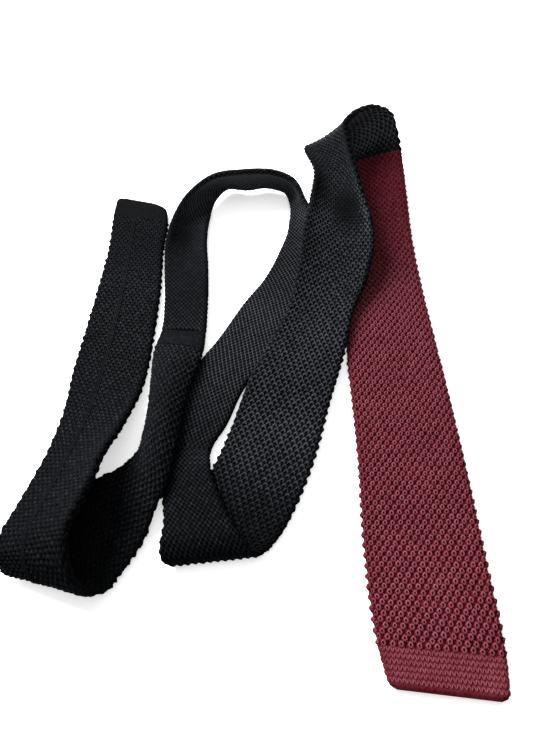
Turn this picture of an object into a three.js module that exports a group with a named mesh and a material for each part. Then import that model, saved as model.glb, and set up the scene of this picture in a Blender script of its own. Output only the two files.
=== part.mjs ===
import * as THREE from 'three';

// A long knit tie laid down loosely in folds. Millimetres, +Z up, the strip rests on z = 0.
// The origin is the middle of its bounding box in plan. +Y runs away from the pointed-at end
// and the strip is followed from its narrow end to its wide end.

// Spread of the laid strip
const layoutWidth = 222;
const layoutDepth = 362;
const foldHeight = 40;

// The knitted tube, pressed flat
const knitThickness = 4.4;
const narrowWidth = 42;
const neckWidth = 30;
const wideWidth = 56;
const cornerRadius = 3;

// Lengths along the strip
const tailBandLength = 15;
const joinLength = 12;
const burgundyLength = 329;
const tipBandLength = 16;

// Clearances
const seamGap = 0.3;
const layerGap = 0.4;

const layerPitch = knitThickness + layerGap;
const halfThickness = knitThickness / 2;

// One row for each section or fold.
// x, y: middle of the strip, as shares of layoutWidth and layoutDepth.
// turn: heading in degrees of the line across the strip, from edge A to edge B.
// width: share of the stretch's named width. curl: degrees the strip bends across itself.
// overA, overB: layers of knit below each edge. liftA, liftB: more height, in foldHeight.
// steps: sections made before the next row.
const columns = ['x', 'y', 'turn', 'width', 'curl', 'overA', 'overB', 'liftA', 'liftB', 'steps'];

// The narrow blade: down the left side, round the first fold and up to the seam
const narrowRows = {
  narrowEnd: [-0.350, 0.311, -14, 0.89, 0, 0, 0, 0, 0, 3],
  bandEnd: [-0.344, 0.267, -9, 0.92, 0, 0, 0, 0, 0, 3],
  upperTail: [-0.341, 0.196, -6, 0.87, 0, 0, 0, 0, 0, 3],
  middleTail: [-0.339, 0.120, -6, 0.93, 0, 0, 0, 0, 0, 3],
  lowerTail: [-0.344, 0.002, -8, 0.99, 0, 0, 0, 0, 0, 3],
  leavesFloor: [-0.349, -0.065, -12, 1.01, 0, 0, 0, 0.005, 0.035, 3],
  tiltsUp: [-0.361, -0.159, -14, 0.94, 14, 0.2, 1, 0, 0.20, 3],
  overCrossing: [-0.377, -0.214, -8, 0.95, 16, 0.5, 1, 0, 0.39, 3],
  nearsFold: [-0.389, -0.252, -4, 1.00, 14, 0.8, 1, 0, 0.46, 3],
  foldShoulder: [-0.404, -0.287, -3, 1.01, 12, 1.1, 1, 0, 0.50, 3],
  foldStart: [-0.418, -0.321, -3, 1.03, 10, 1.1, 1, 0, 0.525, 4],
  foldTop: [-0.415, -0.335, -2, 1.01, 8, 1, 1, 0, 0.51, 4],
  foldFront: [-0.408, -0.354, -10, 1.03, 6, 0.6, 0.6, 0, 0.45, 4],
  foldNose: [-0.392, -0.368, -15, 1.03, 4, 0.35, 0.35, 0, 0.22, 4],
  foldUnder: [-0.368, -0.359, -20, 1.03, 0, 0.2, 0.2, 0, 0.045, 4],
  lowerStrand: [-0.331, -0.324, -36, 1.05, 0, 0.1, 0.1, 0, 0, 3],
  lowerMiddle: [-0.277, -0.275, -44, 0.99, 0, 0, 0.1, 0, 0, 3],
  curlStart: [-0.235, -0.243, -46, 0.74, 30, 0, 1, 0, 0.01, 3],
  climbsNeck: [-0.213, -0.222, -49, 0.71, 70, 0.1, 1, 0, 0.045, 3],
  ridgeLow: [-0.204, -0.188, -42, 0.68, 100, 0.1, 1, 0, 0.045, 3],
  ridgeMiddle: [-0.198, -0.139, -25, 0.62, 110, 0, 1, 0, 0.02, 3],
  ridgeHigh: [-0.194, -0.087, -22, 0.66, 90, 0, 1, 0, 0.015, 3],
  leavesNeck: [-0.183, -0.032, -13, 0.72, 40, 0, 0.95, 0, 0, 3],
};

// The neck band: up, round the loop standing on its edge, and down below both blades
const neckRows = {
  narrowSeam: [-0.176, 0.014, -6, 0.89, 0, 0, 0.2, 0, 0, 3],
  neckFlat: [-0.179, 0.086, 0, 0.89, 0, 0, 0, 0, 0, 3],
  neckRises: [-0.189, 0.157, 1, 0.93, -10, 0, 0, 0.015, 0, 3],
  creaseStart: [-0.195, 0.213, 6, 0.90, -40, 0, 0, 0.107, 0, 3],
  crease: [-0.185, 0.264, 10, 0.87, -70, 0, 0, 0.245, 0, 3],
  loopLeft: [-0.157, 0.312, 29, 0.83, -64, 0, 0, 0.395, 0, 3],
  loopTopLeft: [-0.103, 0.344, 57, 0.87, -44, 0, 0, 0.52, 0, 3],
  loopTop: [-0.032, 0.345, 66, 0.84, -40, 0, 0, 0.57, 0, 3],
  loopTopRight: [0.047, 0.351, 109, 0.79, -40, 0, 0, 0.53, 0, 3],
  loopRight: [0.106, 0.338, 122, 0.68, -46, 0, 0, 0.445, 0, 3],
  loopFalls: [0.133, 0.299, 153, 0.54, -60, 0, 0, 0.295, 0, 3],
  loopOpens: [0.147, 0.246, 183, 0.73, -44, 0, 0, 0.17, 0, 3],
  flatAgain: [0.145, 0.192, 177, 1.01, -16, 0, 0, 0.06, 0, 3],
  belowBlade: [0.110, 0.122, 173, 1.14, 0, 0, 0, 0, 0, 3],
  slopesLeft: [0.046, 0.051, 158, 1.15, 0, 0, 0, 0, 0, 3],
  leavesBlade: [-0.018, -0.017, 160, 1.09, 0, 0, 0, 0, 0, 3],
  besideBlade: [-0.081, -0.077, 160, 1.06, 0, 0, 0, 0, 0, 3],
  belowStrand: [-0.119, -0.135, 162, 1.09, 0, 0, 0, 0, 0, 3],
  wideSeam: [-0.148, -0.184, 168, 0.98, 0, 0, 0, 0, 0, 3],
};

// The wide blade: second fold, up over the neck band, top fold and down to the wide end
const wideRows = {
  climbsSelf: [-0.136, -0.228, 181, 0.49, 8, 1, 0, 0.005, 0, 3],
  aboveSelf: [-0.117, -0.265, 182, 0.52, 6, 1, 0.3, 0.05, 0, 3],
  secondShoulder: [-0.099, -0.297, 184, 0.575, 4, 1, 1, 0.04, 0, 3],
  secondTop: [-0.086, -0.323, 184, 0.70, 0, 1, 1, 0.035, 0.025, 4],
  secondNose: [-0.075, -0.335, 185, 0.755, 0, 0.8, 0.8, 0, 0, 4],
  secondUnder: [-0.060, -0.337, 186, 0.78, 0, 0.2, 0.2, 0, 0, 4],
  wideStart: [-0.039, -0.311, 172, 0.815, 0, 0, 0, 0, 0, 3],
  wideLow: [-0.002, -0.268, 163, 0.83, 0, 0, 0, 0, 0, 3],
  wideFlat: [0.032, -0.221, 164, 0.84, 0, 0, 0, 0, 0, 3],
  wideMiddle: [0.068, -0.158, 168, 0.84, 0, 0, 0.1, 0, 0, 3],
  edgeRises: [0.084, -0.124, 171, 0.84, 0, 0, 0.55, 0, 0, 3],
  overNeck: [0.105, -0.085, 171, 0.83, 0, 0.15, 1, 0, 0, 3],
  overNeckTop: [0.147, -0.019, 168, 0.76, 6, 0.85, 1.1, 0, 0, 3],
  bridges: [0.188, 0.056, 171, 0.69, 18, 1, 1, 0.025, 0.055, 3],
  climbs: [0.222, 0.126, 160, 0.79, 34, 1, 1, 0.115, 0.165, 3],
  dentStart: [0.239, 0.182, 160, 0.85, 54, 1, 1, 0.275, 0.27, 3],
  dent: [0.247, 0.239, 157, 0.825, 90, 1, 1, 0.45, 0.335, 3],
  dentDeep: [0.243, 0.283, 156, 0.76, 120, 1, 1, 0.575, 0.34, 3],
  dentTop: [0.240, 0.333, 150, 0.72, 120, 1, 1, 0.70, 0.29, 3],
  topShoulder: [0.225, 0.386, 155, 0.72, 90, 1, 1, 0.79, 0.215, 3],
  topRoll: [0.220, 0.429, 166, 0.74, 56, 1, 1, 0.825, 0.125, 4],
  topCorner: [0.247, 0.456, 181, 0.84, 24, 1, 1, 0.825, 0.05, 4],
  topCrest: [0.294, 0.469, 189, 0.95, 8, 0.5, 0.5, 0.835, 0.045, 4],
  topTurns: [0.331, 0.464, 189, 0.97, 0, 0, 0, 0.77, 0.055, 4],
  topFalls: [0.351, 0.449, 188, 0.905, 0, 0, 0, 0.545, 0.02, 4],
  burgundyStart: [0.356, 0.419, 184, 0.91, 0, 0, 0, 0.345, 0.005, 3],
  slopesDown: [0.356, 0.335, 185, 0.90, 0, 0, 0, 0.195, 0, 3],
  nearsFloor: [0.354, 0.199, 187, 0.89, 0, 0, 0, 0.055, 0, 3],
  onFloor: [0.358, 0.109, 185, 0.895, 0, 0, 0, 0, 0, 3],
  bladeUpper: [0.363, -0.016, 182, 0.935, 0, 0, 0, 0, 0, 3],
  bladeMiddle: [0.372, -0.201, 181, 0.965, 0, 0, 0, 0, 0, 3],
  bladeLower: [0.373, -0.340, 180, 1.005, 0, 0, 0, 0, 0, 3],
  tipBandStart: [0.379, -0.443, 175, 0.97, 0, 0, 0, 0, 0, 3],
  wideEnd: [0.382, -0.487, 174, 0.88, 0, 0, 0, 0, 0, 1],
};

// A row in millimetres: middle of the strip, height of each edge, heading, width and curl
function readRow(name, row, stretchWidth) {
  const r = Object.fromEntries(columns.map((column, i) => [column, row[i]]));
  const values = [
    r.x * layoutWidth,
    r.y * layoutDepth,
    halfThickness + r.overA * layerPitch + r.liftA * foldHeight,
    halfThickness + r.overB * layerPitch + r.liftB * foldHeight,
    THREE.MathUtils.degToRad(r.turn),
    r.width * stretchWidth,
    THREE.MathUtils.degToRad(r.curl),
  ];
  return { name, steps: r.steps, values };
}

const rows = [
  ...Object.entries(narrowRows).map(([name, row]) => readRow(name, row, narrowWidth)),
  ...Object.entries(neckRows).map(([name, row]) => readRow(name, row, neckWidth)),
  ...Object.entries(wideRows).map(([name, row]) => readRow(name, row, wideWidth)),
];

function middleOf([x, y, heightA, heightB]) {
  return new THREE.Vector3(x, y, (heightA + heightB) / 2);
}

function distance(a, b) {
  return middleOf(a).distanceTo(middleOf(b));
}

// Smooth sections between the rows: a cubic through every column
function smoothSections() {
  const spans = rows.slice(1).map((row, i) => distance(row.values, rows[i].values));
  const slopes = rows.map((row, i) => row.values.map((value, k) => {
    const before = i > 0 ? (value - rows[i - 1].values[k]) / spans[i - 1] : null;
    const after = i < spans.length ? (rows[i + 1].values[k] - value) / spans[i] : null;
    if (before === null) return after;
    if (after === null) return before;
    return (before * spans[i] + after * spans[i - 1]) / (spans[i - 1] + spans[i]);
  }));
  const sections = [];
  const rowSection = {};
  rows.forEach((row, i) => {
    rowSection[row.name] = sections.length;
    const last = i === rows.length - 1;
    const count = last ? 1 : row.steps;
    for (let j = 0; j < count; j += 1) {
      const t = j / count;
      const next = last ? row : rows[i + 1];
      const nextSlopes = last ? slopes[i] : slopes[i + 1];
      const span = last ? 0 : spans[i];
      const section = row.values.map((value, k) => (
        (2 * t ** 3 - 3 * t ** 2 + 1) * value
        + (t ** 3 - 2 * t ** 2 + t) * span * slopes[i][k]
        + (3 * t ** 2 - 2 * t ** 3) * next.values[k]
        + (t ** 3 - t ** 2) * span * nextSlopes[k]
      ));
      section[2] = Math.max(section[2], halfThickness);
      section[3] = Math.max(section[3], halfThickness);
      sections.push(section);
    }
  });
  return { sections, rowSection };
}

const { sections, rowSection } = smoothSections();
const lengths = [0];
for (let i = 1; i < sections.length; i += 1) {
  lengths.push(lengths[i - 1] + distance(sections[i], sections[i - 1]));
}
const tieLength = lengths[lengths.length - 1];

// The section at any length along the strip
function sectionAt(length) {
  let i = 1;
  while (i < sections.length - 1 && lengths[i] < length) i += 1;
  const t = (length - lengths[i - 1]) / (lengths[i] - lengths[i - 1]);
  const values = sections[i].map((value, k) => THREE.MathUtils.lerp(sections[i - 1][k], value, t));
  return { length, values };
}

// Direction of the middle line at a length, from a short step either side
function directionAt(length) {
  const reach = 1.5;
  const from = middleOf(sectionAt(Math.max(length - reach, 0)).values);
  const to = middleOf(sectionAt(Math.min(length + reach, tieLength)).values);
  return to.sub(from).normalize();
}

// Width lost near a free end, which gives it round corners
function cornerLoss(length) {
  const fromEnd = Math.min(length, tieLength - length);
  if (fromEnd >= cornerRadius) return 0;
  const short = cornerRadius - fromEnd;
  return 2 * (cornerRadius - Math.sqrt(cornerRadius ** 2 - short ** 2));
}

// Outline of the flat tube with its round rims: the top face from edge A to edge B, then back below
function outline(width) {
  const half = width / 2;
  const rim = half - halfThickness;
  const shares = [-1, -2 / 3, -1 / 3, 0, 1 / 3, 2 / 3, 1];
  const top = shares.map((share) => [share * rim, halfThickness]);
  const bottom = shares.map((share) => [-share * rim, -halfThickness]);
  const rimB = [
    [rim + 0.75 * halfThickness, 0.66 * halfThickness],
    [half, 0],
    [rim + 0.75 * halfThickness, -0.66 * halfThickness],
  ];
  const rimA = rimB.map(([u, v]) => [-u, -v]);
  return [...top, ...rimB, ...bottom, ...rimA];
}

// Points of one section in space
function sectionPoints({ length, values }) {
  const [, , heightA, heightB, turn, fullWidth, curl] = values;
  const middle = middleOf(values);
  const bend = Math.abs(curl) > 1e-3;
  const shrink = bend ? Math.sin(curl / 2) / (curl / 2) : 1;
  const chord = (fullWidth - knitThickness) * shrink + knitThickness;
  const tilt = Math.asin(THREE.MathUtils.clamp((heightB - heightA) / chord, -1, 1));
  const across = new THREE.Vector3(
    Math.cos(tilt) * Math.cos(turn),
    Math.cos(tilt) * Math.sin(turn),
    Math.sin(tilt),
  );
  const normal = directionAt(length).cross(across).normalize();
  const width = fullWidth - cornerLoss(length);
  const radius = bend ? (width - knitThickness) / curl : 0;
  const points = outline(width).map(([u, v]) => {
    const angle = bend ? u / radius : 0;
    const along = bend ? (radius - v) * Math.sin(angle) : u;
    const sag = bend ? radius * (Math.cos(curl / 2) - Math.cos(angle)) : 0;
    return middle.clone()
      .addScaledVector(across, along)
      .addScaledVector(normal, sag + v * Math.cos(angle));
  });
  // A section that dips below the floor is lifted onto it
  const dip = Math.min(0, ...points.map((point) => point.z));
  for (const point of points) point.z -= dip;
  return points;
}

// A closed solid swept along the strip between two lengths
function strip(start, end) {
  const inside = lengths.filter((length) => length > start + 1 && length < end - 1);
  if (start === 0) inside.unshift(cornerRadius / 6, cornerRadius / 2);
  if (end === tieLength) inside.push(tieLength - cornerRadius / 2, tieLength - cornerRadius / 6);
  const stops = [start, ...inside, end].sort((a, b) => a - b);
  const rings = stops.map((length) => sectionPoints(sectionAt(length)));
  const count = rings[0].length;
  const index = [];
  for (let i = 0; i < rings.length - 1; i += 1) {
    for (let j = 0; j < count; j += 1) {
      const a = i * count + j;
      const b = i * count + ((j + 1) % count);
      index.push(a, b + count, b, a, a + count, b + count);
    }
  }
  // End faces, zipped between the points above and below, from the edge A rim to the edge B rim
  const far = (rings.length - 1) * count;
  const rimA = count - 2;
  for (let j = 0; j < count / 2; j += 1) {
    const a = (rimA + j) % count;
    const b = (rimA + j + 1) % count;
    const c = (rimA - j - 1 + count) % count;
    const d = (rimA - j + count) % count;
    if (b !== c) index.push(a, b, c, far + a, far + c, far + b);
    if (a !== d) index.push(a, c, d, far + a, far + d, far + c);
  }
  const geometry = new THREE.BufferGeometry();
  const points = rings.flat().flatMap((p) => [p.x, p.y, p.z]);
  geometry.setAttribute('position', new THREE.Float32BufferAttribute(points, 3));
  geometry.setIndex(index);
  geometry.computeVertexNormals();
  return geometry;
}

const blackKnit = new THREE.MeshStandardMaterial({ color: 0x16191c, roughness: 0.9, metalness: 0 });
const neckKnit = new THREE.MeshStandardMaterial({ color: 0x1e2226, roughness: 0.85, metalness: 0 });
const burgundyKnit = new THREE.MeshStandardMaterial({ color: 0x6e2f3a, roughness: 0.9, metalness: 0 });

// The pieces in order along the strip, each from where the one before it ended
const narrowSeam = lengths[rowSection.narrowSeam];
const wideSeam = lengths[rowSection.wideSeam];
const pieces = [
  ['tail_band', tailBandLength, blackKnit],
  ['narrow_blade', narrowSeam - joinLength, blackKnit],
  ['narrow_join', narrowSeam, blackKnit],
  ['neck_band', wideSeam, neckKnit],
  ['wide_join', wideSeam + joinLength, blackKnit],
  ['wide_blade_black', tieLength - burgundyLength, blackKnit],
  ['wide_blade_burgundy', tieLength - tipBandLength, burgundyKnit],
  ['tip_band', tieLength, burgundyKnit],
];

const tie = new THREE.Group();
let start = 0;
for (const [name, end, material] of pieces) {
  const lastPiece = end === tieLength;
  const mesh = new THREE.Mesh(strip(start, lastPiece ? end : end - seamGap), material);
  mesh.name = name;
  tie.add(mesh);
  start = end;
}

// Shift all pieces so that the origin is the middle of the footprint, with the strip on z = 0
const box = new THREE.Box3().setFromObject(tie, true);
const centre = box.getCenter(new THREE.Vector3());
for (const mesh of tie.children) mesh.geometry.translate(-centre.x, -centre.y, -box.min.z);

export default tie;
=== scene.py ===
from math import atan2, ceil, cos, pi, radians, sin

import bmesh
import bpy
import numpy as np
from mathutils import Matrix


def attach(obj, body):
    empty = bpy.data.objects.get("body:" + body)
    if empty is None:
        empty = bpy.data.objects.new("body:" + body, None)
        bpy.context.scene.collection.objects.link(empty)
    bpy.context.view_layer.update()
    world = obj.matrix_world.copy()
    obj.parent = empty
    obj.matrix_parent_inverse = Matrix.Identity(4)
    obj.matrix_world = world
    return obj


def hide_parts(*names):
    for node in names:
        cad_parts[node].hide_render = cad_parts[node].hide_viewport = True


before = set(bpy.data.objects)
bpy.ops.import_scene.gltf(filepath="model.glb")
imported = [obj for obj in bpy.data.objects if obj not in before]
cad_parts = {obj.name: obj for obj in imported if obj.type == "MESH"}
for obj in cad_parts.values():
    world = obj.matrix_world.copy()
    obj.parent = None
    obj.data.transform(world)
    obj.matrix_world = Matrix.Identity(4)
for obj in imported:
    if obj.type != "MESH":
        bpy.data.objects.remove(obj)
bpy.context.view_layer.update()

# The strip's own sizes, in metres, as the solids have them
strip = {
    "layoutWidth": 0.222,
    "layoutDepth": 0.362,
    "foldHeight": 0.040,
    "knitThickness": 0.0044,
    "layerGap": 0.0004,
    "narrowWidth": 0.042,
    "neckWidth": 0.030,
    "wideWidth": 0.056,
    "cornerRadius": 0.003,
    "tailBandLength": 0.015,
    "joinLength": 0.012,
    "burgundyLength": 0.329,
    "tipBandLength": 0.016,
}

# One row for each section or fold, in order along the strip. x, y: shares of the layout. Turn of
# the line across the strip. Width share. Curl. Layers below edges A and B. Lifts of A and B. Steps.
narrowRows = {
    "narrowEnd": (-0.350, 0.311, -14, 0.89, 0, 0, 0, 0, 0, 3),
    "bandEnd": (-0.344, 0.267, -9, 0.92, 0, 0, 0, 0, 0, 3),
    "upperTail": (-0.341, 0.196, -6, 0.87, 0, 0, 0, 0, 0, 3),
    "middleTail": (-0.339, 0.120, -6, 0.93, 0, 0, 0, 0, 0, 3),
    "lowerTail": (-0.344, 0.002, -8, 0.99, 0, 0, 0, 0, 0, 3),
    "leavesFloor": (-0.349, -0.065, -12, 1.01, 0, 0, 0, 0.005, 0.035, 3),
    "tiltsUp": (-0.361, -0.159, -14, 0.94, 14, 0.2, 1, 0, 0.20, 3),
    "overCrossing": (-0.377, -0.214, -8, 0.95, 16, 0.5, 1, 0, 0.39, 3),
    "nearsFold": (-0.389, -0.252, -4, 1.00, 14, 0.8, 1, 0, 0.46, 3),
    "foldShoulder": (-0.404, -0.287, -3, 1.01, 12, 1.1, 1, 0, 0.50, 3),
    "foldStart": (-0.418, -0.321, -3, 1.03, 10, 1.1, 1, 0, 0.525, 4),
    "foldTop": (-0.415, -0.335, -2, 1.01, 8, 1, 1, 0, 0.51, 4),
    "foldFront": (-0.408, -0.354, -10, 1.03, 6, 0.6, 0.6, 0, 0.45, 4),
    "foldNose": (-0.392, -0.368, -15, 1.03, 4, 0.35, 0.35, 0, 0.22, 4),
    "foldUnder": (-0.368, -0.359, -20, 1.03, 0, 0.2, 0.2, 0, 0.045, 4),
    "lowerStrand": (-0.331, -0.324, -36, 1.05, 0, 0.1, 0.1, 0, 0, 3),
    "lowerMiddle": (-0.277, -0.275, -44, 0.99, 0, 0, 0.1, 0, 0, 3),
    "curlStart": (-0.235, -0.243, -46, 0.74, 30, 0, 1, 0, 0.01, 3),
    "climbsNeck": (-0.213, -0.222, -49, 0.71, 70, 0.1, 1, 0, 0.045, 3),
    "ridgeLow": (-0.204, -0.188, -42, 0.68, 100, 0.1, 1, 0, 0.045, 3),
    "ridgeMiddle": (-0.198, -0.139, -25, 0.62, 110, 0, 1, 0, 0.02, 3),
    "ridgeHigh": (-0.194, -0.087, -22, 0.66, 90, 0, 1, 0, 0.015, 3),
    "leavesNeck": (-0.183, -0.032, -13, 0.72, 40, 0, 0.95, 0, 0, 3),
}
neckRows = {
    "narrowSeam": (-0.176, 0.014, -6, 0.89, 0, 0, 0.2, 0, 0, 3),
    "neckFlat": (-0.179, 0.086, 0, 0.89, 0, 0, 0, 0, 0, 3),
    "neckRises": (-0.189, 0.157, 1, 0.93, -10, 0, 0, 0.015, 0, 3),
    "creaseStart": (-0.195, 0.213, 6, 0.90, -40, 0, 0, 0.107, 0, 3),
    "crease": (-0.185, 0.264, 10, 0.87, -70, 0, 0, 0.245, 0, 3),
    "loopLeft": (-0.157, 0.312, 29, 0.83, -64, 0, 0, 0.395, 0, 3),
    "loopTopLeft": (-0.103, 0.344, 57, 0.87, -44, 0, 0, 0.52, 0, 3),
    "loopTop": (-0.032, 0.345, 66, 0.84, -40, 0, 0, 0.57, 0, 3),
    "loopTopRight": (0.047, 0.351, 109, 0.79, -40, 0, 0, 0.53, 0, 3),
    "loopRight": (0.106, 0.338, 122, 0.68, -46, 0, 0, 0.445, 0, 3),
    "loopFalls": (0.133, 0.299, 153, 0.54, -60, 0, 0, 0.295, 0, 3),
    "loopOpens": (0.147, 0.246, 183, 0.73, -44, 0, 0, 0.17, 0, 3),
    "flatAgain": (0.145, 0.192, 177, 1.01, -16, 0, 0, 0.06, 0, 3),
    "belowBlade": (0.110, 0.122, 173, 1.14, 0, 0, 0, 0, 0, 3),
    "slopesLeft": (0.046, 0.051, 158, 1.15, 0, 0, 0, 0, 0, 3),
    "leavesBlade": (-0.018, -0.017, 160, 1.09, 0, 0, 0, 0, 0, 3),
    "besideBlade": (-0.081, -0.077, 160, 1.06, 0, 0, 0, 0, 0, 3),
    "belowStrand": (-0.119, -0.135, 162, 1.09, 0, 0, 0, 0, 0, 3),
    "wideSeam": (-0.148, -0.184, 168, 0.98, 0, 0, 0, 0, 0, 3),
}
wideRows = {
    "climbsSelf": (-0.136, -0.228, 181, 0.49, 8, 1, 0, 0.005, 0, 3),
    "aboveSelf": (-0.117, -0.265, 182, 0.52, 6, 1, 0.3, 0.05, 0, 3),
    "secondShoulder": (-0.099, -0.297, 184, 0.575, 4, 1, 1, 0.04, 0, 3),
    "secondTop": (-0.086, -0.323, 184, 0.70, 0, 1, 1, 0.035, 0.025, 4),
    "secondNose": (-0.075, -0.335, 185, 0.755, 0, 0.8, 0.8, 0, 0, 4),
    "secondUnder": (-0.060, -0.337, 186, 0.78, 0, 0.2, 0.2, 0, 0, 4),
    "wideStart": (-0.039, -0.311, 172, 0.815, 0, 0, 0, 0, 0, 3),
    "wideLow": (-0.002, -0.268, 163, 0.83, 0, 0, 0, 0, 0, 3),
    "wideFlat": (0.032, -0.221, 164, 0.84, 0, 0, 0, 0, 0, 3),
    "wideMiddle": (0.068, -0.158, 168, 0.84, 0, 0, 0.1, 0, 0, 3),
    "edgeRises": (0.084, -0.124, 171, 0.84, 0, 0, 0.55, 0, 0, 3),
    "overNeck": (0.105, -0.085, 171, 0.83, 0, 0.15, 1, 0, 0, 3),
    "overNeckTop": (0.147, -0.019, 168, 0.76, 6, 0.85, 1.1, 0, 0, 3),
    "bridges": (0.188, 0.056, 171, 0.69, 18, 1, 1, 0.025, 0.055, 3),
    "climbs": (0.222, 0.126, 160, 0.79, 34, 1, 1, 0.115, 0.165, 3),
    "dentStart": (0.239, 0.182, 160, 0.85, 54, 1, 1, 0.275, 0.27, 3),
    "dent": (0.247, 0.239, 157, 0.825, 90, 1, 1, 0.45, 0.335, 3),
    "dentDeep": (0.243, 0.283, 156, 0.76, 120, 1, 1, 0.575, 0.34, 3),
    "dentTop": (0.240, 0.333, 150, 0.72, 120, 1, 1, 0.70, 0.29, 3),
    "topShoulder": (0.225, 0.386, 155, 0.72, 90, 1, 1, 0.79, 0.215, 3),
    "topRoll": (0.220, 0.429, 166, 0.74, 56, 1, 1, 0.825, 0.125, 4),
    "topCorner": (0.247, 0.456, 181, 0.84, 24, 1, 1, 0.825, 0.05, 4),
    "topCrest": (0.294, 0.469, 189, 0.95, 8, 0.5, 0.5, 0.835, 0.045, 4),
    "topTurns": (0.331, 0.464, 189, 0.97, 0, 0, 0, 0.77, 0.055, 4),
    "topFalls": (0.351, 0.449, 188, 0.905, 0, 0, 0, 0.545, 0.02, 4),
    "burgundyStart": (0.356, 0.419, 184, 0.91, 0, 0, 0, 0.345, 0.005, 3),
    "slopesDown": (0.356, 0.335, 185, 0.90, 0, 0, 0, 0.195, 0, 3),
    "nearsFloor": (0.354, 0.199, 187, 0.89, 0, 0, 0, 0.055, 0, 3),
    "onFloor": (0.358, 0.109, 185, 0.895, 0, 0, 0, 0, 0, 3),
    "bladeUpper": (0.363, -0.016, 182, 0.935, 0, 0, 0, 0, 0, 3),
    "bladeMiddle": (0.372, -0.201, 181, 0.965, 0, 0, 0, 0, 0, 3),
    "bladeLower": (0.373, -0.340, 180, 1.005, 0, 0, 0, 0, 0, 3),
    "tipBandStart": (0.379, -0.443, 175, 0.97, 0, 0, 0, 0, 0, 3),
    "wideEnd": (0.382, -0.487, 174, 0.88, 0, 0, 0, 0, 0, 1),
}


# A table's rows in metres and radians
def readRows(table, stretchWidth):
    half = strip["knitThickness"] / 2
    pitch = strip["knitThickness"] + strip["layerGap"]
    found = []
    for name, (x, y, turn, width, curl, overA, overB, liftA, liftB, steps) in table.items():
        found.append((name, steps, (
            x * strip["layoutWidth"],
            y * strip["layoutDepth"],
            half + overA * pitch + liftA * strip["foldHeight"],
            half + overB * pitch + liftB * strip["foldHeight"],
            radians(turn),
            width * stretchWidth,
            radians(curl),
        )))
    return found


def middles(values):
    return np.column_stack([values[:, 0], values[:, 1], (values[:, 2] + values[:, 3]) / 2])


# Smooth sections through the rows. Lengths run as on the solids, so the pieces meet where they do
def followRows(rows, finer=4):
    values = np.array([row[2] for row in rows])
    spans = np.linalg.norm(np.diff(middles(values), axis=0), axis=1)
    rises = np.diff(values, axis=0) / spans[:, None]
    slopes = np.empty_like(values)
    slopes[0] = rises[0]
    slopes[-1] = rises[-1]
    before = spans[:-1, None]
    after = spans[1:, None]
    slopes[1:-1] = (rises[:-1] * after + rises[1:] * before) / (before + after)
    fine = []
    marks = {}
    for i, (name, steps, _) in enumerate(rows[:-1]):
        marks[name] = len(fine)
        for j in range(steps * finer):
            t = j / (steps * finer)
            fine.append(
                (2 * t ** 3 - 3 * t ** 2 + 1) * values[i]
                + (t ** 3 - 2 * t ** 2 + t) * spans[i] * slopes[i]
                + (3 * t ** 2 - 2 * t ** 3) * values[i + 1]
                + (t ** 3 - t ** 2) * spans[i] * slopes[i + 1]
            )
    fine.append(values[-1])
    fine = np.array(fine)
    fine[:, 2:4] = np.maximum(fine[:, 2:4], strip["knitThickness"] / 2)
    coarse = middles(fine[::finer])
    coarseLengths = np.concatenate([[0], np.cumsum(np.linalg.norm(np.diff(coarse, axis=0), axis=1))])
    lengths = np.interp(np.arange(len(fine)) / finer, np.arange(len(coarse)), coarseLengths)
    return fine, lengths, {name: lengths[k] for name, k in marks.items()}


# Below this curl, in radians, a section counts as straight
straightCurl = 0.001


# Where a point u across and v off the middle goes when the section curls
def curled(u, v, width, curl):
    bend = np.abs(curl) > straightCurl
    radius = np.where(bend, (width - strip["knitThickness"]) / np.where(bend, curl, 1), 1)
    angle = np.where(bend, u / radius, 0)
    x = np.where(bend, (radius - v) * np.sin(angle), u)
    y = np.where(bend, radius * (np.cos(curl / 2) - np.cos(angle)), 0) + v * np.cos(angle)
    return x, y


samplesAcross = 13


# Middle, the two ways across the section, width and curl at every station
def layRoute(sections, lengths):
    half = strip["knitThickness"] / 2
    middle = middles(sections)
    forward = np.gradient(middle, lengths, axis=0)
    forward /= np.linalg.norm(forward, axis=1)[:, None]
    width = sections[:, 5]
    curl = sections[:, 6]
    bend = np.abs(curl) > straightCurl
    halfCurl = np.where(bend, curl, 1) / 2
    chord = (width - 2 * half) * np.where(bend, np.sin(halfCurl) / halfCurl, 1) + 2 * half
    tilt = np.arcsin(np.clip((sections[:, 3] - sections[:, 2]) / chord, -1, 1))
    turn = sections[:, 4]
    across = np.column_stack([np.cos(tilt) * np.cos(turn), np.cos(tilt) * np.sin(turn), np.sin(tilt)])
    normal = np.cross(forward, across)
    normal /= np.linalg.norm(normal, axis=1)[:, None]
    dip = np.zeros(len(sections))
    for share in np.linspace(-1, 1, samplesAcross):
        for v in (-half, half):
            x, y = curled(share * (width / 2 - half), v, width, curl)
            dip = np.minimum(dip, middle[:, 2] + x * across[:, 2] + y * normal[:, 2])
    middle[:, 2] -= dip
    return np.column_stack([middle, across, normal, width, curl])


# The free ends have round corners and are thinner at the closed edge
edgeThickness = 0.45


def endRounding(along):
    corner = strip["cornerRadius"]
    fromEnd = np.minimum(along, tieLength - along)
    short = np.clip(corner - fromEnd, 0, corner)
    loss = 2 * (corner - np.sqrt(corner ** 2 - short ** 2))
    thin = edgeThickness + (1 - edgeThickness) * np.sqrt(np.clip(1 - (short / corner) ** 2, 0, 1))
    return loss, thin


# Half of the way round the tube
def halfRound(along):
    half = strip["knitThickness"] / 2
    width = np.interp(along, lengths, route[:, 9]) - endRounding(along)[0]
    return width - 2 * half + pi * half


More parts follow.
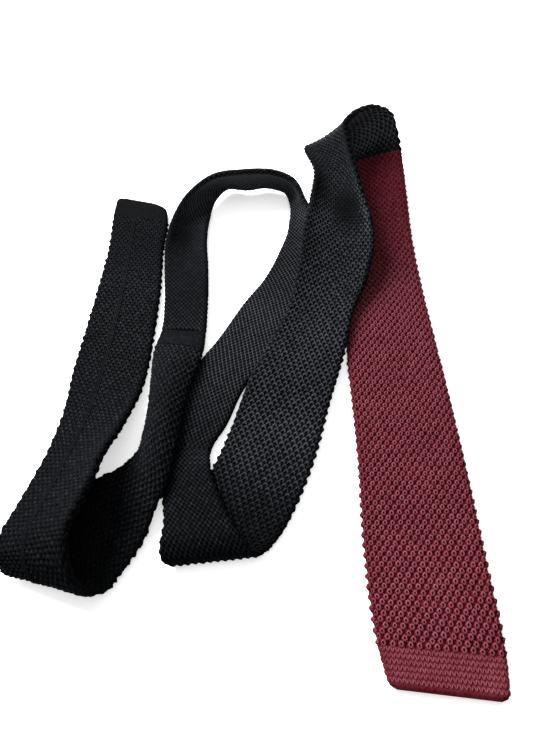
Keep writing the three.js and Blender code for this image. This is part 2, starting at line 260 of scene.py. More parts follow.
# The narrow end is bowed outward. Each corner starts at a share of the half width and loses some bow
tail = {"bow": 0.0036, "reach": 0.014, "corners": [(1, 0.4, 0.9), (-1, 0.8, 0.35)]}


def tailBow(along, share):
    kept = 1
    for side, start, loss in tail["corners"]:
        kept = kept - loss * np.clip((side * share - start) / (1 - start), 0, 1) ** 2
    return -tail["bow"] * np.exp(-(along / tail["reach"]) ** 1.5) * kept


# The lowest that anything lies above the floor
floorClearance = 0.00002


# Lays a flat swatch's points on the strip. Across runs round the tube from the middle of the front
# face to the middle of the back, along runs from the narrow end, and height stands off the knit
def layOnStrip(across, along, height, shift=(0, 0, 0)):
    half = strip["knitThickness"] / 2
    place = np.column_stack([np.interp(along, lengths, column) for column in route.T])
    loss, thin = endRounding(along)
    width = place[:, 9] - loss
    curl = place[:, 10]
    flat = width / 2 - half
    side = np.sign(across)
    run = np.minimum(np.abs(across), 2 * flat + pi * half)
    rim = np.clip((run - flat) / (pi * half), 0, 1) * pi
    back = np.clip(run - flat - pi * half, 0, None)
    u = side * (np.minimum(run, flat) + (half + height) * np.sin(rim) - back)
    v = -(half + height) * np.cos(rim) * thin
    x, y = curled(u, v, width, curl)
    acrossWay = place[:, 3:6] / np.linalg.norm(place[:, 3:6], axis=1)[:, None]
    normalWay = place[:, 6:9] / np.linalg.norm(place[:, 6:9], axis=1)[:, None]
    points = place[:, 0:3] + x[:, None] * acrossWay + y[:, None] * normalWay + np.array(shift)
    points += tailBow(along, 2 * x / width)[:, None] * np.cross(acrossWay, normalWay)
    points[:, 2] = np.maximum(points[:, 2], floorClearance)
    return points


# The origin is the middle of the footprint, as on the solids
def footprintShift():
    run = (route[:, 9] - strip["knitThickness"]) / 2 + pi * strip["knitThickness"] / 4
    rims = np.concatenate([layOnStrip(side * run, lengths, run * 0) for side in (-1, 1)])
    middle = (rims.min(axis=0) + rims.max(axis=0)) / 2
    return np.array([-middle[0], -middle[1], 0.0])


rows = (
    readRows(narrowRows, strip["narrowWidth"])
    + readRows(neckRows, strip["neckWidth"])
    + readRows(wideRows, strip["wideWidth"])
)
sections, lengths, marks = followRows(rows)
tieLength = lengths[-1]
route = layRoute(sections, lengths)
shift = footprintShift()
print("strip followed,", round(tieLength, 3), "m long")

# The camera stands over the near end and looks down across the layout
view = {"height": 0.262, "x": 0.014, "y": -0.183, "down": 57.6, "lens": 27.01, "film": 36}


def placeCamera():
    data = bpy.data.cameras.new("camera")
    data.sensor_fit = "VERTICAL"
    data.sensor_height = view["film"]
    data.lens = view["lens"]
    data.clip_start = 0.01
    camera = bpy.data.objects.new("camera", data)
    camera.location = (view["x"] + shift[0], view["y"] + shift[1], view["height"])
    camera.rotation_euler = (radians(90 - view["down"]), 0, 0)
    bpy.context.scene.collection.objects.link(camera)
    bpy.context.scene.camera = camera


placeCamera()


# A shader socket that takes part in Python sums
class Flow:
    def __init__(self, paint, socket):
        self.paint = paint
        self.socket = socket

    def blend(self, operation, *others):
        inputs = dict(enumerate((self, *others)))
        return self.paint.add("ShaderNodeMath", {"operation": operation}, inputs)[0]

    def __add__(self, other):
        return self.blend("ADD", other)

    def __radd__(self, other):
        return self.blend("ADD", other)

    def __sub__(self, other):
        return self.blend("SUBTRACT", other)

    def __mul__(self, other):
        return self.blend("MULTIPLY", other)


# A material whose nodes all come from one method
class Paint:
    def __init__(self, name):
        self.material = bpy.data.materials.new(name)
        self.material.use_nodes = True
        self.tree = self.material.node_tree
        self.tree.nodes.clear()

    def add(self, kind, settings=None, inputs=None):
        node = self.tree.nodes.new(kind)
        for key, value in (settings or {}).items():
            setattr(node, key, value)
        for key, value in (inputs or {}).items():
            socket = node.inputs[key]
            if isinstance(value, Flow):
                self.tree.links.new(value.socket, socket)
            else:
                socket.default_value = value
        return [Flow(self, output) for output in node.outputs]

    def colourMix(self, factor, first, second, mode="MIX"):
        settings = {"data_type": "RGBA", "blend_type": mode}
        return self.add("ShaderNodeMix", settings, {0: factor, 6: first, 7: second})[2]

    def noise(self, place, scale, detail, roughness):
        inputs = {"Vector": place, "Scale": scale, "Detail": detail, "Roughness": roughness}
        return self.add("ShaderNodeTexNoise", {}, inputs)[0]

    def rise(self, value, low, high):
        inputs = {0: value, 1: low, 2: high, 3: 0.0, 4: 1.0}
        return self.add("ShaderNodeMapRange", {"clamp": True}, inputs)[0]


# Yarn: its own colour in the body, painted shade deep between the strands, a painted highlight where the
# strands stand up, and a soft ply twist
yarns = {
    "black": {
        "deep": (0.0003, 0.0004, 0.0005, 1),
        "body": (0.0034, 0.0038, 0.0046, 1),
        "crest": (0.0430, 0.0455, 0.0510, 1),
        "slot": "black_knit",
    },
    "neck": {
        "deep": (0.0004, 0.0005, 0.0007, 1),
        "body": (0.0050, 0.0056, 0.0066, 1),
        "crest": (0.0400, 0.0430, 0.0480, 1),
        "slot": "neck_knit",
    },
    "burgundy": {
        "deep": (0.024, 0.0008, 0.0020, 1),
        "body": (0.082, 0.0125, 0.0185, 1),
        "crest": (0.148, 0.058, 0.071, 1),
        "slot": "burgundy_knit",
    },
}


# Fibres, flecks and patches of the wool: noise scale, detail and roughness
wool = {"fibres": (5200, 3, 0.6), "flecks": (420, 2, 0.5), "patches": (45, 2, 0.5)}
# Turns of the ply round the yarn for each length and girth of the yarn map
ply = {"lengthwise": 7, "around": 0.9}
# How far fibres and flecks shift the colour, and between which depths one colour turns into the next
colouring = {"fibres": 0.35, "flecks": 0.5, "toBody": (0.0, 0.55), "toCrest": (0.5, 1.1)}
# The patches run from this tone over this range
patchTone = {"low": 0.82, "range": 0.36}
# What raises the bumps, and how strong and deep they are
bumps = {"fibres": 0.5, "flecks": 0.3, "ply": 0.35, "strength": 0.6, "depth": 0.00025}
dullness = {"roughness": 0.78, "flecks": 0.2, "specular": 0.01}


def yarnMaterial(name, yarn, plied):
    paint = Paint(name)
    depth = paint.add("ShaderNodeAttribute", {"attribute_name": "depth"})[2]
    place = paint.add("ShaderNodeTexCoord")[3]
    fibres, flecks, patches = (paint.noise(place, *wool[kind]) for kind in ("fibres", "flecks", "patches"))
    stand = depth + (fibres - 0.5) * colouring["fibres"] + (flecks - 0.5) * colouring["flecks"]
    colour = paint.colourMix(paint.rise(stand, *colouring["toBody"]), yarn["deep"], yarn["body"])
    colour = paint.colourMix(paint.rise(stand, *colouring["toCrest"]), colour, yarn["crest"])
    shade = patchTone["low"] + patches * patchTone["range"]
    toneAndPaintedShade = paint.add("ShaderNodeCombineColor", {}, {0: shade, 1: shade, 2: shade})[0]
    colour = paint.colourMix(1.0, colour, toneAndPaintedShade, "MULTIPLY")
    height = fibres * bumps["fibres"] + flecks * bumps["flecks"]
    if plied:
        turns = paint.add("ShaderNodeUVMap", {"uv_map": "yarn"})[0]
        parts = paint.add("ShaderNodeSeparateXYZ", {}, {0: turns})
        angle = (parts[0] * ply["lengthwise"] + parts[1] * ply["around"]) * (2 * pi)
        height = height + paint.add("ShaderNodeMath", {"operation": "SINE"}, {0: angle})[0] * bumps["ply"]
    bump = paint.add("ShaderNodeBump", {}, {
        "Strength": bumps["strength"],
        "Distance": bumps["depth"],
        "Height": height,
    })[0]
    shader = paint.add("ShaderNodeBsdfPrincipled", {}, {
        "Base Color": colour,
        "Roughness": dullness["roughness"] + (flecks - 0.5) * dullness["flecks"],
        "Normal": bump,
    })[0]
    shader.socket.node.inputs["Specular IOR Level"].default_value = dullness["specular"]
    paint.add("ShaderNodeOutputMaterial", {}, {"Surface": shader})
    return paint.material


# Stitch sizes, in metres. A staggered knit sets each row half a stitch aside, with pits between
knits = {
    "looped": {
        "stitch": "ring",
        "width": 0.00375,
        "row": 0.0024,
        "staggered": True,
        "yarnRadius": 0.00055,
        "halfWidth": 0.00086,
        "halfLength": 0.00104,
        "sides": 8,
        "corner": -0.0007,
        "middle": -0.0009,
        "pit": -0.0016,
        "stand": -0.0003,
        "jitter": 0.00012,
        "scallop": 0.0004,
        "bump": 0.0048,
        "shine": 1.0,
    },
    "chunky": {
        "stitch": "arch",
        "width": 0.0034,
        "row": 0.0023,
        "staggered": True,
        "yarnRadius": 0.00055,
        "halfWidth": 0.00092,
        "corner": -0.0007,
        "middle": -0.0012,
        "pit": -0.0012,
        "stand": -0.0003,
        "jitter": 0.00009,
        "scallop": 0.00042,
        "bump": 0.0048,
        "shine": 1.0,
    },
    "slimChunky": {
        "stitch": "arch",
        "width": 0.0029,
        "row": 0.0021,
        "staggered": True,
        "yarnRadius": 0.0005,
        "halfWidth": 0.0008,
        "corner": -0.0007,
        "middle": -0.0011,
        "pit": -0.0011,
        "stand": -0.0003,
        "jitter": 0.00012,
        "scallop": 0.00045,
        "bump": 0.0056,
        "shine": 0.95,
    },
    "mesh": {
        "stitch": "lattice",
        "width": 0.0025,
        "row": 0.0016,
        "staggered": True,
        "yarnRadius": 0.00042,
        "corner": -0.0004,
        "middle": -0.0004,
        "pit": -0.0011,
        "stand": -0.0002,
        "jitter": 0.00004,
        "scallop": 0.0,
        "bump": 0.005,
        "shine": 1.0,
    },
    "jersey": {
        "stitch": "vee",
        "width": 0.0020,
        "row": 0.0022,
        "staggered": False,
        "yarnRadius": 0.00038,
        "halfWidth": 0.0009,
        "halfLength": 0.00095,
        "corner": -0.00055,
        "middle": -0.00055,
        "pit": -0.00055,
        "stand": -0.0003,
        "jitter": 0.00006,
        "scallop": 0.00012,
        "bump": 0.005,
        "shine": 1.0,
    },
    "plain": {
        "stitch": "vee",
        "width": 0.0014,
        "row": 0.0015,
        "staggered": False,
        "yarnRadius": 0.0003,
        "halfWidth": 0.0006,
        "halfLength": 0.00065,
        "corner": -0.0004,
        "middle": -0.0004,
        "pit": -0.0004,
        "stand": -0.0003,
        "jitter": 0.00006,
        "scallop": 0.00005,
        "bump": 0.005,
        "shine": 0.9,
    },
}

knits["fineMesh"] = {
    **knits["mesh"],
    "width": 0.0024,
    "row": 0.0015,
    "jitter": 0.0001,
    "scallop": 0.00045,
    "bump": 0.0048,
}

yarnMaterials = {
    (name, plied): yarnMaterial(name + ("Stitches" if plied else "Ground"), yarn, plied)
    for name, yarn in yarns.items() for plied in (False, True)
}


# Painted shade and painted light along the strip, from the sections' names: below one the knit is shaded,
# as in the folds and on the tail, above one it is lit, as on the top turn
paintedShadeAndLightAlong = {
    "narrowEnd": 0.64, "upperTail": 0.66, "middleTail": 0.76, "lowerTail": 0.74, "tiltsUp": 0.66,
    "foldStart": 0.60, "foldNose": 0.64, "lowerStrand": 0.58, "curlStart": 0.70, "ridgeMiddle": 0.68,
    "leavesNeck": 0.74, "narrowSeam": 0.74, "neckFlat": 0.64, "creaseStart": 0.72, "loopLeft": 1.05,
    "loopTop": 1.05, "loopRight": 1.02, "loopOpens": 0.96, "flatAgain": 0.92, "belowBlade": 0.98,
    "slopesLeft": 1.10, "leavesBlade": 1.08, "besideBlade": 0.98,
    "wideSeam": 0.68, "secondShoulder": 0.64, "secondNose": 0.60, "wideStart": 0.54, "wideLow": 0.65,
    "wideFlat": 0.86, "wideMiddle": 0.98, "bridges": 0.96, "dentStart": 0.84, "dent": 0.76,
    "topShoulder": 0.68, "topRoll": 0.70, "topCorner": 1.10, "topTurns": 1.30, "topFalls": 1.25,
    "burgundyStart": 0.68, "slopesDown": 0.74,
    "nearsFloor": 0.88, "onFloor": 0.98, "wideEnd": 1.00,
}
# Spots of painted shade in hollows, and of painted light where the loss is below zero: section, way on from
# it, back face or not, share across, reaches, loss
paintedShadeAndLightSpots = [
    ("dent", 0.006, True, -0.22, 0.013, 0.32, 0.68),
    ("dent", 0.004, True, -0.90, 0.026, 0.14, -0.60),
    ("dent", -0.006, True, 0.65, 0.014, 0.40, -0.40),
    ("topCrest", 0.010, False, 0.0, 0.012, 0.90, -0.30),
    ("slopesDown", 0.0, False, -0.70, 0.040, 0.60, 0.18),
    ("creaseStart", 0.0, False, -0.10, 0.011, 0.50, 0.35),
    ("loopTop", 0.0, False, 0.0, 0.050, 0.90, -0.80),
]


# The rims are darker by this share, over this share of the half width
rimShade = {"loss": 0.3, "reach": 0.14}


# Multiplies the depth, and so the colour, by the painted shade and painted light along the strip and in the
# spots, and darkens the rims
def toneAndPaintedShade(across, along):
    spots = [marks[name] if name != "wideEnd" else tieLength for name in paintedShadeAndLightAlong]
    value = np.interp(along, spots, list(paintedShadeAndLightAlong.values()))
    share = across / halfRound(along) * 2
    value = value * (1 - rimShade["loss"] * np.exp(-((np.abs(share) - 1) / rimShade["reach"]) ** 2))
    for name, onward, onBack, centre, reach, spread, loss in paintedShadeAndLightSpots:
        aside = (np.sign(share) * (2 - np.abs(share)) if onBack else share) - centre
        away = along - marks[name] - onward
        value = value * (1 - loss * np.exp(-(away / reach) ** 2 - (aside / spread) ** 2))
    return value


def cellWidth(knit):
    return knit["width"] / 2 if knit["staggered"] else knit["width"]


def rowPlan(piece, knit):
    count = max(2, round((piece["end"] - piece["start"]) / knit["row"]))
    return count, (piece["end"] - piece["start"]) / count


def stationsOf(piece, count=200):
    return np.linspace(piece["start"], piece["end"], count)


def reachOf(piece):
    return halfRound(stationsOf(piece)).max()


def meshPoints(mesh):
    points = np.empty(len(mesh.vertices) * 3)
    mesh.vertices.foreach_get("co", points)
    return points.reshape(-1, 3)


def setDepth(mesh, values):
    layer = mesh.attributes.get("depth") or mesh.attributes.new("depth", "FLOAT", "POINT")
    layer.data.foreach_set("value", np.ascontiguousarray(values, dtype=np.float32))


def makeObject(mesh, name, piece, plied):
    mesh.shade_smooth()
    mesh.materials.clear()
    mesh.materials.append(yarnMaterials[(piece["yarn"], plied)])
    made = bpy.data.objects.new(name, mesh)
    bpy.context.scene.collection.objects.link(made)
    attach(made, "root")
    return made


# Places a flat swatch round the tube. Its columns are counted from the middles of the two faces, so
# the spare ones fall at the rims
def roundTube(across, along, columns, cell):
    full = halfRound(along)
    back = np.abs(across) > columns * cell / 2
    return np.where(back, across + np.sign(across) * (full - columns * cell), across), back, full


# The rims stand out in bumps, which reach this far in and lie this share lower than they rise
rimBump = {"reach": 0.0026, "sink": 0.2}


def rimBumps(across, along, piece):
    knit = knits[piece["knit"]]
    full = halfRound(along)
    nearRim = np.exp(-((np.abs(across) - full / 2) / rimBump["reach"]) ** 2)
    beat = np.cos(2 * pi * (along - piece["start"]) / knit["bump"] + np.where(across > 0, 0, pi / 2))
    return knit["scallop"] * nearRim * (beat - rimBump["sink"])


# The neck band starts with a small lip across its middle, where it is sewn on
lipShape = {"place": 0.0010, "length": 0.0008, "reach": 0.008}


def endLip(across, along, piece):
    away = (along - piece["start"] - lipShape["place"]) / lipShape["length"]
    return piece["lip"] * np.exp(-away ** 2 - (across / lipShape["reach"]) ** 4)


# Depths of the ground, which set painted shade in its colour, darkest in the pits and stitch holes. Spare
# points at a rim step aside, so that no two of them meet
groundDepth = {"stitch": 0.05, "pit": -0.1, "corner": 0.42}
spareStep = 0.00006
weldReach = 0.000002


# The ground of the knit: a tube of poked squares, one for each stitch or pit, closed at both ends
def knitGround(piece):
    knit = knits[piece["knit"]]
    cell = cellWidth(knit)
    count, row = rowPlan(piece, knit)
    columns = ceil(reachOf(piece) / cell)
    bm = bmesh.new()
    bmesh.ops.create_grid(bm, x_segments=2 * columns, y_segments=count, size=0.5)
    bmesh.ops.poke(bm, faces=bm.faces[:])
    mesh = bpy.data.meshes.new(piece["name"])
    bm.to_mesh(mesh)
    bm.free()
    flat = meshPoints(mesh)
    j = flat[:, 0] * 2 * columns + 0.5
    along = piece["start"] + (flat[:, 1] + 0.5) * (piece["end"] - piece["start"])
    i = (along - piece["start"]) / row - 0.5
    centre = np.abs(j - np.round(j)) < 0.25
    stitch = ((np.round(j) + np.round(i)).astype(int) % 2 == 0) | (not knit["staggered"])
    height = np.where(centre, np.where(stitch, knit["middle"], knit["pit"]), knit["corner"])
    depth = np.where(stitch, groundDepth["stitch"], groundDepth["pit"])
    depth = np.where(centre, depth, groundDepth["corner"])
    across, back, full = roundTube(j * cell, along, columns, cell)
    side = np.where(j < 0, -1, 1)
    rim = full / 2 + (np.abs(j) - columns / 2) * spareStep
    spare = np.where(back, np.abs(across) < rim, np.abs(across) > rim)
    height = np.where(spare, knit["corner"], height)
    across = np.where(spare, side * rim, across)
    across = (across + full) % (2 * full) - full
    height = height + rimBumps(across, along, piece) + endLip(across, along, piece)
    mesh.vertices.foreach_set("co", layOnStrip(across, along, height, shift).ravel())
    # The depth sets the painted shade and highlight of the colour, together with the painted shade and
    # light along the strip
    setDepth(mesh, depth * knit["shine"] * toneAndPaintedShade(across, along))
    bm = bmesh.new()
    bm.from_mesh(mesh)
    bmesh.ops.remove_doubles(bm, verts=bm.verts[:], dist=weldReach)
    bmesh.ops.holes_fill(bm, edges=[edge for edge in bm.edges if edge.is_boundary], sides=0)
    bmesh.ops.recalc_face_normals(bm, faces=bm.faces[:])
    bm.to_mesh(mesh)
    bm.free()
    return mesh


# Shapes of the stitches. Heights are in yarn radii, depths set the painted highlight and painted shade
# of the colour, and the way over an arch falls from its top by a share of the row
ringShape = {
    "square": 1.5,
    "crest": 0.75,
    "foot": -0.6,
    "crestShade": 0.14,
    "footDepth": 0.34,
    "footShade": 0.12,
}
archShape = {
    "top": 0.45,
    "fall": 1.27,
    "slope": 1.9,
    "narrower": 0.3,
    "crest": 0.8,
    "foot": -0.5,
    "sink": 1.1,
    "footDepth": 0.4,
    "shade": 0.45,
}
strandShape = {"crest": 0.6, "foot": -0.6, "sink": 0.35, "footDepth": 0.3, "shade": 0.25}
# Links beside a ring run between these shares of the cell and the row
linkShape = {"from": (0.34, 0.36), "to": (0.68, 0.66), "bright": 0.85}
veeShape = {"foot": 0.06}


# A ring of yarn, half buried: outer foot, crest and inner foot, with its yarn map
def addRing(bm, knit, across, along, turns):
    radius = knit["yarnRadius"]
    made = bmesh.ops.create_circle(bm, cap_ends=False, segments=knit["sides"], radius=1)
    loops = [made["verts"]]
    edges = list(dict.fromkeys(edge for vert in made["verts"] for edge in vert.link_edges))
    for _ in range(2):
        grown = bmesh.ops.extrude_edge_only(bm, edges=edges)["geom"]
        edges = [part for part in grown if isinstance(part, bmesh.types.BMEdge)
                 and all(vert in grown for vert in part.verts)]
        loops.append([part for part in grown if isinstance(part, bmesh.types.BMVert)])
    for step, loop in enumerate(loops):
        grow = radius * (1 - step)
        for vert in loop:
            x, y = vert.co.x, vert.co.y
            vert[turns[0]] = (atan2(y, x) / (2 * pi)) % 1
            vert[turns[1]] = step / 2
            # Painted highlight on the crest and painted shade on the feet, darker towards one side
            if step == 1:
                vert[turns[2]] = 1.0 - ringShape["crestShade"] * (1 + y)
            else:
                vert[turns[2]] = ringShape["footDepth"] - ringShape["footShade"] * (x + y) * (step == 0)
            power = ringShape["square"]
            square = (abs(x) ** power + abs(y) ** power) ** (-1 / power)
            x, y = x * square, y * square
            vert.co = (
                across + x * (knit["halfWidth"] + grow),
                along + y * (knit["halfLength"] + grow),
                radius * ringShape["crest" if step == 1 else "foot"],
            )


# An arch of yarn over its pit. The feet go down below the tops of the arches in the next row
def addArch(bm, knit, across, along, row, turns):
    cell = cellWidth(knit)
    made = bmesh.ops.create_grid(bm, x_segments=2, y_segments=6, size=1)
    for vert in made["verts"]:
        x, t = vert.co.x, vert.co.y
        down = abs(t) ** 1.5
        slope = -archShape["slope"] * row * abs(t) ** 0.5 * (1 if t > 0 else -1)
        reach = knit["halfWidth"] * (1 - archShape["narrower"] * down)
        aside = np.array((-slope, cell)) / np.hypot(slope, cell) * reach
        crest = abs(x) < 0.5
        vert[turns[0]] = (t + 1) / 4
        vert[turns[1]] = (x + 1) / 2
        # Painted shade darkens the arch as it falls, a painted highlight lies on its top
        vert[turns[2]] = (1.0 if crest else archShape["footDepth"]) - archShape["shade"] * down
        vert.co = (
            across + cell * t + aside[0] * x,
            along + row * (archShape["top"] - archShape["fall"] * down) + aside[1] * x,
            knit["yarnRadius"] * (archShape["crest" if crest else "foot"] - archShape["sink"] * down),
        )


# Extruded faces come in a different order in each run, so they are sorted by their points
def sortFaces(bm):
    bm.verts.index_update()
    count = len(bm.verts)

    def rank(face):
        points = [vert.index for vert in face.verts]
        return max(points) * count + min(points)

    bm.faces.sort(key=rank)


# A short strand between two flat points, half buried
def addStrand(bm, knit, start, end, turns, bright=1.0, parts=2):
    made = bmesh.ops.create_grid(bm, x_segments=2, y_segments=parts, size=1)
    way = np.array(end) - np.array(start)
    aside = np.array((way[1], -way[0])) / np.linalg.norm(way) * knit["yarnRadius"]
    for vert in made["verts"]:
        x, y = vert.co.x, (vert.co.y + 1) / 2
        vert[turns[0]] = y / 4
        vert[turns[1]] = (x + 1) / 2
        crest = abs(x) < 0.5
        fromMiddle = abs(2 * y - 1)
        vert[turns[2]] = (bright if crest else strandShape["footDepth"]) - strandShape["shade"] * fromMiddle
        point = np.array(start) + way * y + aside * x
        rise = strandShape["crest"] - strandShape["sink"] * fromMiddle
        vert.co = (*point, knit["yarnRadius"] * (rise if crest else strandShape["foot"]))


# The smallest repeat of a knit, as a flat mesh with its yarn map and depths
def stitchRepeat(knit, row):
    cell = cellWidth(knit)
    bm = bmesh.new()
    turns = [bm.verts.layers.float.new(name) for name in ("turn", "girth", "depth")]
    if knit["stitch"] == "ring":
        for across, along in ((0, 0), (cell, row)):
            addRing(bm, knit, across, along, turns)
            for side in (-1, 1):
                start, end = (
                    (across + side * cell * linkShape[key][0], along + row * linkShape[key][1])
                    for key in ("from", "to")
                )
                addStrand(bm, knit, start, end, turns, linkShape["bright"], 1)
        sortFaces(bm)
    elif knit["stitch"] == "arch":
        for across, along in ((0, 0), (cell, row)):
            addArch(bm, knit, across, along, row, turns)
    elif knit["stitch"] == "lattice":
        for across, along in ((0, 0), (cell, row)):
            for side in (-1, 1):
                addStrand(bm, knit, (across - side * cell / 2, along - row / 2),
                          (across + side * cell / 2, along + row / 2), turns)
    else:
        for side in (-1, 1):
            addStrand(bm, knit, (side * knit["width"] * veeShape["foot"], -knit["halfLength"]),
                      (side * knit["halfWidth"], knit["halfLength"]), turns)
    yarnMap = bm.loops.layers.uv.new("yarn")
    for face in bm.faces:
        angles = [loop.vert[turns[0]] for loop in face.loops]
        wraps = max(angles) - min(angles) > 0.5
        for loop, angle in zip(face.loops, angles):
            loop[yarnMap].uv = (angle + (1 if wraps and angle < 0.5 else 0), loop.vert[turns[1]])
    bmesh.ops.recalc_face_normals(bm, faces=bm.faces[:])
    for face in bm.faces:
        if face.normal.z < 0:
            face.normal_flip()
    mesh = bpy.data.meshes.new("repeat")
    bm.to_mesh(mesh)
    bm.free()
    return mesh


# How uneven the stitches are, and how far they keep from the rims and the free ends
uneven = {"size": 0.05, "lean": 0.07, "lift": 0.5}
stitchRoom = {"rim": 0.3, "end": 0.0003}


# Stitches: the repeat is arrayed into a flat swatch, cut to the tube, and laid on the strip
def knitStitches(piece):
    knit = knits[piece["knit"]]
    cell = cellWidth(knit)
    count, row = rowPlan(piece, knit)
    mesh = stitchRepeat(knit, row)
    repeat = 2 if knit["staggered"] else 1
    perStitch = len(mesh.vertices) // repeat
    columns = ceil(reachOf(piece) / cell)
    half = ceil(columns / repeat)
    swatch = bpy.data.objects.new("swatch", mesh)
    bpy.context.scene.collection.objects.link(swatch)
    sideways = (2 * half + 1, (cell * repeat, 0, 0))
    onward = (ceil(count / repeat), (0, row * repeat, 0))
    for times, offset in (sideways, onward):
        array = swatch.modifiers.new("array", "ARRAY")
        array.count = times
        array.use_relative_offset = False
        array.use_constant_offset = True
        array.constant_offset_displace = offset
    swatch.data.update()
    laid = bpy.data.meshes.new_from_object(swatch.evaluated_get(bpy.context.evaluated_depsgraph_get()))
    bpy.data.objects.remove(swatch)
    flat = meshPoints(laid).reshape(-1, perStitch, 3)
    flat[:, :, 0] -= half * cell * repeat
    flat[:, :, 1] += piece["start"] + row / 2
    if piece["turned"]:
        flat[:, :, 0] *= -1
        flat[:, :, 1] = piece["start"] + piece["end"] - flat[:, :, 1]
    middle = flat.mean(axis=1, keepdims=True)
    random = np.random.default_rng(piece["seed"])
    size = 1 + random.normal(0, uneven["size"], (len(flat), 1, 1))
    lean = random.normal(0, uneven["lean"], len(flat))[:, None]
    local = (flat - middle) * size
    turned = local.copy()
    turned[:, :, 0] = local[:, :, 0] * np.cos(lean) - local[:, :, 1] * np.sin(lean)
    turned[:, :, 1] = local[:, :, 0] * np.sin(lean) + local[:, :, 1] * np.cos(lean)
    flat = middle + turned + random.normal(0, knit["jitter"], (len(flat), 1, 3)) * (1, 1, uneven["lift"])
    across = middle[:, 0, 0]
    along = middle[:, 0, 1]
    placed, back, full = roundTube(across, along, columns, cell)
    room = cell * stitchRoom["rim"]
    kept = np.where(back, np.abs(placed) > full / 2 + room, np.abs(placed) < full / 2 + room)
    kept &= (across > -(columns - 0.5) * cell) & (across < (columns + 0.5) * cell)
    kept &= (along > piece["start"]) & (along < piece["end"])
    kept &= flat[:, :, 1].min(axis=1) > stitchRoom["end"]
    kept &= flat[:, :, 1].max(axis=1) < tieLength - stitchRoom["end"]
    fromSeam = np.where(placed < 0, -full, full) - placed + seam["aside"]
    kept &= np.abs(fromSeam) > piece["seamWidth"] / 2
    flat[:, :, 0] += (placed - across)[:, None]
    points = flat.reshape(-1, 3)
    full = np.repeat(full, perStitch)
    around = (points[:, 0] + full) % (2 * full) - full
    height = points[:, 2] + knit["stand"]
    height += rimBumps(around, points[:, 1], piece) + endLip(around, points[:, 1], piece)
    laid.vertices.foreach_set("co", layOnStrip(around, points[:, 1], height, shift).ravel())
    depths = np.empty(len(laid.vertices), dtype=np.float32)
    laid.attributes["depth"].data.foreach_get("value", depths)
    # The depth sets the painted shade and highlight of the colour, together with the painted shade and
    # light along the strip
    setDepth(laid, depths * knit["shine"] * toneAndPaintedShade(around, points[:, 1]))
    bm = bmesh.new()
    bm.from_mesh(laid)
    dropped = [vert for vert, keep in zip(bm.verts, np.repeat(kept, perStitch)) if not keep]
    bmesh.ops.delete(bm, geom=dropped, context="VERTS")
    bm.to_mesh(laid)
    bm.free()
    return laid


# Cords of the seam down the back face of the narrow blade, a little aside of its middle
seam = {
    "cords": 3,
    "partsAcross": 4,
    "step": 0.0008,
    "spacing": 0.00095,
    "rise": 0.00045,
    "beat": 0.0024,
    "beatShift": 2.1,
    "beatShare": 0.3,
    "aside": 0.004,
    "yarnLength": 0.008,
    "footDepth": 0.22,
    "crestDepth": 0.5,
    "beatDepth": 0.15,
}


def seamCords(piece):
    cords = seam["cords"]
    length = piece["end"] - piece["start"]
    count = round(length / seam["step"])
    bm = bmesh.new()
    bmesh.ops.create_grid(bm, x_segments=cords * seam["partsAcross"], y_segments=count, size=0.5)
    mesh = bpy.data.meshes.new(piece["name"])
    bm.to_mesh(mesh)
    bm.free()
    flat = meshPoints(mesh)
    width = cords * seam["spacing"]
    x = flat[:, 0] * width
    along = piece["start"] + (flat[:, 1] + 0.5) * length
    swing = np.abs(np.cos(pi * (x / seam["spacing"] + (0 if cords % 2 else 0.5))))
    beat = np.sin(2 * pi * along / seam["beat"] + np.round(x / seam["spacing"]) * seam["beatShift"])
    height = swing * seam["rise"] * (1 + seam["beatShare"] * beat) - seam["rise"] / 2
    fromMiddle = x - seam["aside"]
    side = np.where(fromMiddle < 0, -1.0, 1.0)
    points = layOnStrip(side * (halfRound(along) - np.abs(fromMiddle)), along, height, shift)
    mesh.vertices.foreach_set("co", points.ravel())
    # Painted highlight on the crests of the cords and painted shade between them
    depth = seam["footDepth"] + seam["crestDepth"] * swing + seam["beatDepth"] * beat
    setDepth(mesh, depth * toneAndPaintedShade(0, along))
    yarnMap = mesh.uv_layers.new(name="yarn")
    loopVerts = np.empty(len(mesh.loops), dtype=np.int32)
    mesh.loops.foreach_get("vertex_index", loopVerts)
    uv = np.column_stack([along / seam["yarnLength"], x / seam["spacing"]])[loopVerts]
    yarnMap.data.foreach_set("uv", uv.astype(np.float32).ravel())
    return makeObject(mesh, piece["name"] + "Seam", piece, True)


# The pieces in order along the strip: name, the solid that it stands for, its end, knit and yarn
narrowSeam = marks["narrowSeam"]
wideSeam = marks["wideSeam"]
plan = [
    ("tailBand", "tail_band", strip["tailBandLength"], "plain", "black"),
    ("narrowBlade", "narrow_blade", narrowSeam - strip["joinLength"], "slimChunky", "black"),
    ("narrowJoin", "narrow_join", narrowSeam, "plain", "black"),
    ("neckBand", "neck_band", wideSeam, "mesh", "neck"),
    ("wideJoin", "wide_join", wideSeam + strip["joinLength"], "mesh", "neck"),
    ("wideBladeBlack", "wide_blade_black", tieLength - strip["burgundyLength"], "chunky", "black"),
    ("wideBladeBurgundy", "wide_blade_burgundy", tieLength - strip["tipBandLength"], "looped", "burgundy"),
    ("tipBand", "tip_band", tieLength, "jersey", "burgundy"),
]
# The narrow half's stitches point the other way
turnedPieces = {"tailBand", "narrowBlade", "narrowJoin"}
# Width left free of stitches for the seam, and height of the lip at a piece's start
seamWidths = {"narrowBlade": 0.0020}
lips = {"neckBand": 0.0014}
# The wide blade's knit is finer up to the crease of the second fold
finerStart = {"wideBladeBlack": ("fineMesh", marks["secondNose"])}


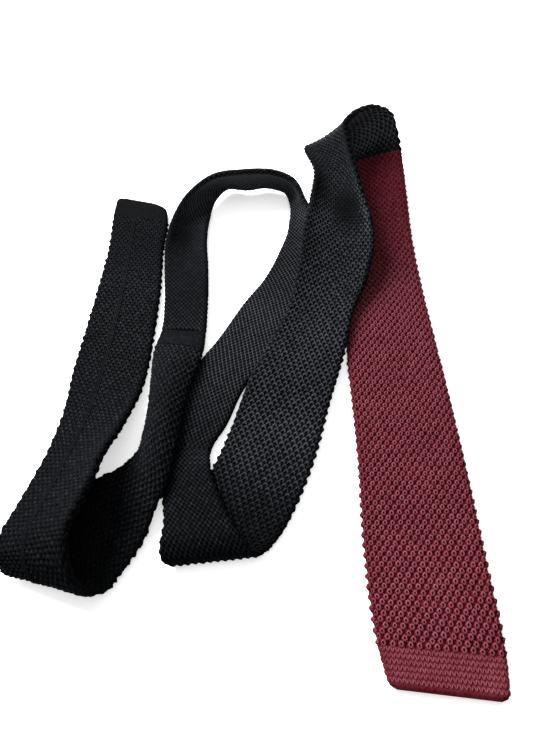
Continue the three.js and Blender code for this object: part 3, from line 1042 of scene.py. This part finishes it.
# Joins the stretches of one piece, which leaves a single stretch as it is
def merged(meshes):
    things = [bpy.data.objects.new("stretch", mesh) for mesh in meshes]
    for thing in things:
        bpy.context.scene.collection.objects.link(thing)
    with bpy.context.temp_override(active_object=things[0], selected_editable_objects=things):
        bpy.ops.object.join()
    mesh = things[0].data
    bpy.data.objects.remove(things[0])
    return mesh


def makePiece(piece):
    stretches = [piece]
    if piece["name"] in finerStart:
        knit, until = finerStart[piece["name"]]
        stretches = [{**piece, "knit": knit, "end": until}, {**piece, "start": until}]
    ground = merged([knitGround(stretch) for stretch in stretches])
    cloth = makeObject(ground, piece["name"] + "Cloth", piece, False)
    stitches = merged([knitStitches(stretch) for stretch in stretches])
    parts = [makeObject(stitches, piece["name"] + "Stitches", piece, True)]
    if piece["seamWidth"]:
        parts.append(seamCords(piece))
    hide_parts(piece["node"])
    lengthOf = piece["end"] - piece["start"]
    widths = np.interp(stationsOf(piece), lengths, route[:, 9])
    float(widths.mean() * lengthOf)
    print(piece["name"], "made,", sum(len(part.data.polygons) for part in [cloth, *parts]), "faces")


start = 0.0
for seed, (name, node, end, knit, yarn) in enumerate(plan):
    makePiece({
        "name": name,
        "node": node,
        "start": start,
        "end": end,
        "knit": knit,
        "yarn": yarn,
        "turned": name in turnedPieces,
        "seamWidth": seamWidths.get(name, 0),
        "lip": lips.get(name, 0),
        "seed": seed,
    })
    start = end


# Pale floor and soft lights
studio = {
    "floor": (0.75, 0.75, 0.75, 1),
    "floorGlow": 0.5,
    "floorReach": 25,
    "floorParts": 8,
    "world": (1, 1, 1, 1),
    "worldStrength": 0.5,
    "lights": [
        ("key", (-0.95, 1.05, 1.00), 1.1, 165),
        ("overhead", (0.10, 0.10, 1.50), 1.5, 8),
    ],
}


def makeStudio():
    scene = bpy.context.scene
    scene.view_settings.view_transform = "Standard"
    world = bpy.data.worlds.new("studio")
    world.use_nodes = True
    background = world.node_tree.nodes["Background"]
    background.inputs["Color"].default_value = studio["world"]
    background.inputs["Strength"].default_value = studio["worldStrength"]
    scene.world = world
    bm = bmesh.new()
    parts = studio["floorParts"]
    bmesh.ops.create_grid(bm, x_segments=parts, y_segments=parts, size=studio["floorReach"])
    mesh = bpy.data.meshes.new("floor")
    bm.to_mesh(mesh)
    bm.free()
    floor = bpy.data.objects.new("floor", mesh)
    paint = Paint("floor")
    shader = paint.add("ShaderNodeBsdfPrincipled", {}, {"Base Color": studio["floor"], "Roughness": 0.9})[0]
    shader.socket.node.inputs["Emission Color"].default_value = studio["world"]
    shader.socket.node.inputs["Emission Strength"].default_value = studio["floorGlow"]
    paint.add("ShaderNodeOutputMaterial", {}, {"Surface": shader})
    mesh.materials.append(paint.material)
    scene.collection.objects.link(floor)
    for name, place, size, power in studio["lights"]:
        light = bpy.data.lights.new(name, "AREA")
        light.shape = "DISK"
        light.size = size
        light.energy = power
        lamp = bpy.data.objects.new(name, light)
        lamp.location = place
        x, y, z = place
        lamp.rotation_euler = (atan2(np.hypot(x, y), z), 0, atan2(-y, -x) - pi / 2)
        scene.collection.objects.link(lamp)


makeStudio()
print("studio made")
